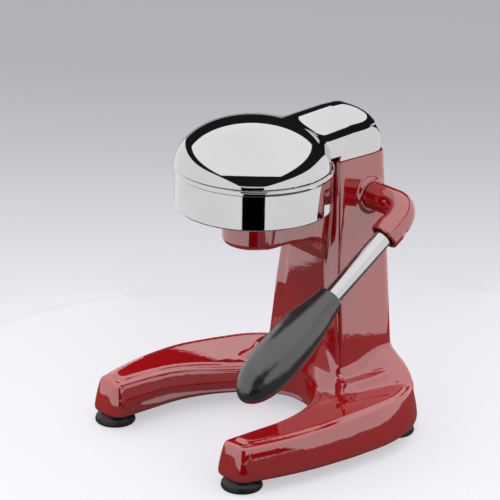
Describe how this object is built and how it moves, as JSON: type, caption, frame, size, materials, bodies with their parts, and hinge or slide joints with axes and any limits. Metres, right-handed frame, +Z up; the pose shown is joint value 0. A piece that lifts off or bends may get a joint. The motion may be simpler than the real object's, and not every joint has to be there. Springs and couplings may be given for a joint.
{
  "type": "citrus press juicer",
  "caption": "Lever citrus press: cast horseshoe stand and column, domed press head on a rack, side lever with grip, lipped juice bowl with strainer and ribbed cone.",
  "frame": {"origin": "on the table, at the centre of the footprint box", "axes": "+Z up, -Y to the front where the glass stands, +X to the side that carries the lever"},
  "size_m": [0.212, 0.21, 0.251],
  "materials": {
    "red_enamel": "gloss enamel on a casting",
    "chrome": "mirror",
    "stainless": "polished stainless steel",
    "steel": "machined, zinc plated",
    "aluminium": "satin casting",
    "bronze": "sintered bronze",
    "black_plastic": "satin",
    "black_rubber": "smooth moulded rubber",
    "nylon": "machined nylon"
  },
  "bodies": {
    "stand": {"body_casting": "red_enamel", "suction_foot_front_left": "black_rubber", "suction_foot_front_right": "black_rubber", "suction_foot_rear_left": "black_rubber", "suction_foot_rear_right": "black_rubber", "foot_screw_front_left": "steel", "foot_screw_front_right": "steel", "foot_screw_rear_left": "steel", "foot_screw_rear_right": "steel", "juice_bowl": "stainless", "bowl_gasket": "black_rubber", "strainer": "stainless", "reamer_cone": "aluminium", "upper_rack_guide": "nylon", "lower_rack_guide": "nylon", "upper_guide_screw_left": "steel", "upper_guide_screw_right": "steel", "lower_guide_screw_left": "steel", "lower_guide_screw_right": "steel", "shaft_bush_left": "bronze", "shaft_bush_right": "bronze"},
    "head": {"press_head": "chrome", "press_bell": "aluminium", "bell_screw": "steel", "rack": "steel", "rack_screw_left": "steel", "rack_screw_right": "steel"},
    "lever": {"pinion": "steel", "pinion_key": "steel", "pinion_shaft": "steel", "pinion_spacer_left": "steel", "pinion_spacer_right": "steel", "shaft_end_washer": "steel", "shaft_end_screw": "steel", "lever_elbow": "red_enamel", "elbow_grub_screw": "steel", "lever_rod": "chrome", "lever_grip": "black_plastic"}
  },
  "joints": [
    {"name": "lever_turn", "type": "hinge", "parent": "stand", "child": "lever", "pos_m": [0, 0.0745, 0.1803], "axis": [-1, 0, 0], "range_deg": [0, 205]},
    {"name": "head_lift", "type": "slide", "parent": "stand", "child": "head", "axis": [0, 0, 1], "range_m": [0, 0.0466]}
  ],
  "couplings": [
    {"joint": "head_lift", "follows": "lever_turn", "m_per_rad": 0.013}
  ]
}
